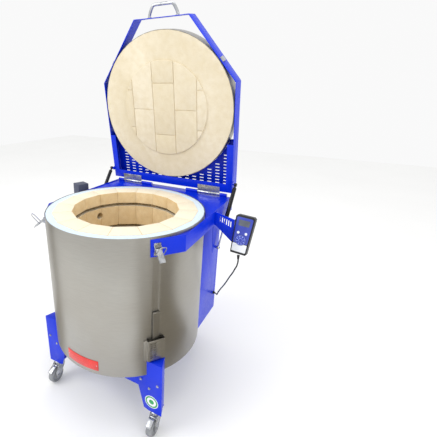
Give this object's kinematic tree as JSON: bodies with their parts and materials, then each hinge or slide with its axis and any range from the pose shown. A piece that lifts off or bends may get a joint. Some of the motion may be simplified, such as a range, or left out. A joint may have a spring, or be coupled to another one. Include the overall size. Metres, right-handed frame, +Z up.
{
  "type": "top-loading pottery kiln",
  "caption": "Round top-loading electric kiln on swivel castors: brick-lined chamber in a stainless shell, hinged hexagonal lid standing open on gas struts, toggle latches, hand controller.",
  "frame": {"origin": "on the floor, under the middle of the kiln's bounding box", "axes": "+Z up, -Y towards the front of the kiln where the lid handle and the braked castors are, +X to the right as seen from the front"},
  "size_m": [0.8945, 0.7661, 1.6567],
  "materials": {
    "stainless": "satin",
    "bright_steel": "gloss",
    "galvanised": "matte",
    "coil": "matte",
    "blue_paint": "gloss",
    "grey_paint": "satin",
    "black_paint": "gloss",
    "firebrick": "matte",
    "porcelain": "satin",
    "fibre": "matte",
    "black_plastic": "matte",
    "white_key": "satin",
    "cord_sheath": "matte",
    "grey_tyre": "matte"
  },
  "bodies": {
    "kiln": {"shell": "stainless", "base_pan": "galvanised", "fibre_blanket": "fibre", "floor_bricks": "firebrick", "brick_course_lower": "firebrick", "brick_course_upper": "firebrick", "element_1": "coil", "element_2": "coil", "element_3": "coil", "element_4": "coil", "thermocouple": "porcelain", "exhaust_duct": "grey_paint", "inlet_cover": "stainless", "base_frame": "blue_paint", "front_leg_right": "blue_paint", "front_leg_left": "blue_paint", "collar_right": "blue_paint", "collar_left": "blue_paint", "hinge_deck": "blue_paint", "hinge_pin_right": "bright_steel", "hinge_pin_left": "bright_steel", "cabinet_shell": "blue_paint", "cabinet_back": "blue_paint", "switchgear": "galvanised", "controller_bracket": "blue_paint", "controller_case": "black_plastic", "cord_gland": "black_plastic", "controller_cord": "cord_sheath", "latch_base_right": "bright_steel", "latch_base_left": "bright_steel"},
    "lid": {"lid_frame": "blue_paint", "lid_panel": "blue_paint", "lid_band": "stainless", "lid_bricks": "firebrick", "lid_handle": "bright_steel", "keeper_right": "bright_steel", "keeper_left": "bright_steel", "hinge_sleeve_right": "bright_steel", "hinge_sleeve_left": "bright_steel"},
    "inlet_slide": {"inlet_slide": "stainless"},
    "key_start": {"key_start": "white_key"},
    "key_stop": {"key_stop": "white_key"},
    "latch_lever_right": {"latch_lever_right": "bright_steel"},
    "latch_lever_left": {"latch_lever_left": "bright_steel"},
    "latch_bail_right": {"latch_bail_right": "bright_steel"},
    "latch_bail_left": {"latch_bail_left": "bright_steel"},
    "strut_rod_right": {"strut_rod_right": "bright_steel"},
    "strut_rod_left": {"strut_rod_left": "bright_steel"},
    "strut_cylinder_right": {"strut_cylinder_right": "black_paint"},
    "strut_cylinder_left": {"strut_cylinder_left": "black_paint"},
    "castor_fork_front_right": {"castor_fork_front_right": "bright_steel"},
    "castor_wheel_front_right": {"castor_wheel_front_right": "grey_tyre"},
    "castor_fork_front_left": {"castor_fork_front_left": "bright_steel"},
    "castor_wheel_front_left": {"castor_wheel_front_left": "grey_tyre"},
    "castor_fork_rear_right": {"castor_fork_rear_right": "bright_steel"},
    "castor_wheel_rear_right": {"castor_wheel_rear_right": "grey_tyre"},
    "castor_fork_rear_left": {"castor_fork_rear_left": "bright_steel"},
    "castor_wheel_rear_left": {"castor_wheel_rear_left": "grey_tyre"},
    "brake_pedal_right": {"brake_pedal_right": "bright_steel"},
    "brake_pedal_left": {"brake_pedal_left": "bright_steel"}
  },
  "joints": [
    {"name": "lid_hinge", "type": "hinge", "parent": "kiln", "child": "lid", "pos_m": [-0.0465, 0.3215, 0.862], "axis": [1, 0, 0], "range_deg": [0, 81.3], "stiffness_Nm_per_rad": 20, "springref_deg": -40.11},
    {"name": "strut_swing_right", "type": "hinge", "parent": "kiln", "child": "strut_rod_right", "pos_m": [0.2985, 0.1325, 0.684], "axis": [1, 0, 0], "range_deg": [-0.05, 0.447]},
    {"name": "strut_slide_right", "type": "slide", "parent": "strut_rod_right", "child": "strut_cylinder_right", "axis": [0, 0.5984, 0.8012], "range_m": [-0.07862, 0.0002]},
    {"name": "strut_swing_left", "type": "hinge", "parent": "kiln", "child": "strut_rod_left", "pos_m": [-0.3915, 0.1325, 0.684], "axis": [1, 0, 0], "range_deg": [-0.05, 0.447]},
    {"name": "strut_slide_left", "type": "slide", "parent": "strut_rod_left", "child": "strut_cylinder_left", "axis": [0, 0.5984, 0.8012], "range_m": [-0.07862, 0.0002]},
    {"name": "latch_lever_right_pivot", "type": "hinge", "parent": "kiln", "child": "latch_lever_right", "pos_m": [0.22245, -0.26121, 0.818], "axis": [0.6225, 0.7826, 0], "range_deg": [-50, 45]},
    {"name": "latch_bail_right_pivot", "type": "hinge", "parent": "latch_lever_right", "child": "latch_bail_right", "pos_m": [0.23419, -0.27055, 0.808], "axis": [0.6225, 0.7826, 0], "range_deg": [-15, 60]},
    {"name": "latch_lever_left_pivot", "type": "hinge", "parent": "kiln", "child": "latch_lever_left", "pos_m": [-0.31545, -0.26121, 0.818], "axis": [0.6225, -0.7826, 0], "range_deg": [-50, 45]},
    {"name": "latch_bail_left_pivot", "type": "hinge", "parent": "latch_lever_left", "child": "latch_bail_left", "pos_m": [-0.32719, -0.27055, 0.808], "axis": [0.6225, -0.7826, 0], "range_deg": [-15, 60]},
    {"name": "castor_swivel_front_right", "type": "hinge", "parent": "kiln", "child": "castor_fork_front_right", "pos_m": [0.2215, -0.2595, 0.1047], "axis": [0, 0, 1], "continuous": true},
    {"name": "castor_roll_front_right", "type": "hinge", "parent": "castor_fork_front_right", "child": "castor_wheel_front_right", "pos_m": [0.2215, -0.2885, 0.0375], "axis": [1, 0, 0], "continuous": true},
    {"name": "castor_swivel_front_left", "type": "hinge", "parent": "kiln", "child": "castor_fork_front_left", "pos_m": [-0.3145, -0.2595, 0.1047], "axis": [0, 0, 1], "continuous": true},
    {"name": "castor_roll_front_left", "type": "hinge", "parent": "castor_fork_front_left", "child": "castor_wheel_front_left", "pos_m": [-0.3145, -0.2885, 0.0375], "axis": [1, 0, 0], "continuous": true},
    {"name": "castor_swivel_rear_right", "type": "hinge", "parent": "kiln", "child": "castor_fork_rear_right", "pos_m": [0.1035, 0.2875, 0.1047], "axis": [0, 0, 1], "continuous": true},
    {"name": "castor_roll_rear_right", "type": "hinge", "parent": "castor_fork_rear_right", "child": "castor_wheel_rear_right", "pos_m": [0.1035, 0.2585, 0.0375], "axis": [1, 0, 0], "continuous": true},
    {"name": "castor_swivel_rear_left", "type": "hinge", "parent": "kiln", "child": "castor_fork_rear_left", "pos_m": [-0.1965, 0.2875, 0.1047], "axis": [0, 0, 1], "continuous": true},
    {"name": "castor_roll_rear_left", "type": "hinge", "parent": "castor_fork_rear_left", "child": "castor_wheel_rear_left", "pos_m": [-0.1965, 0.2585, 0.0375], "axis": [1, 0, 0], "continuous": true},
    {"name": "brake_pedal_right_pivot", "type": "hinge", "parent": "castor_fork_front_right", "child": "brake_pedal_right", "pos_m": [0.2215, -0.2845, 0.0815], "axis": [1, 0, 0], "range_deg": [0, 12]},
    {"name": "brake_pedal_left_pivot", "type": "hinge", "parent": "castor_fork_front_left", "child": "brake_pedal_left", "pos_m": [-0.3145, -0.2845, 0.0815], "axis": [1, 0, 0], "range_deg": [0, 12]},
    {"name": "inlet_slide_lift", "type": "slide", "parent": "kiln", "child": "inlet_slide", "axis": [0, 0, 1], "range_m": [-0.058, 0]},
    {"name": "key_start_press", "type": "slide", "parent": "kiln", "child": "key_start", "axis": [0, 0.9744, -0.225], "range_m": [0, 0.0015], "stiffness_N_per_m": 800, "springref_m": -0.001},
    {"name": "key_stop_press", "type": "slide", "parent": "kiln", "child": "key_stop", "axis": [0, 0.9744, -0.225], "range_m": [0, 0.0015], "stiffness_N_per_m": 800, "springref_m": -0.001}
  ],
  "couplings": [
    {"joint": "strut_swing_right", "follows": "lid_hinge", "ratio": 0.004881},
    {"joint": "strut_slide_right", "follows": "lid_hinge", "m_per_rad": -0.055269},
    {"joint": "strut_swing_left", "follows": "lid_hinge", "ratio": 0.004881},
    {"joint": "strut_slide_left", "follows": "lid_hinge", "m_per_rad": -0.055269}
  ]
}
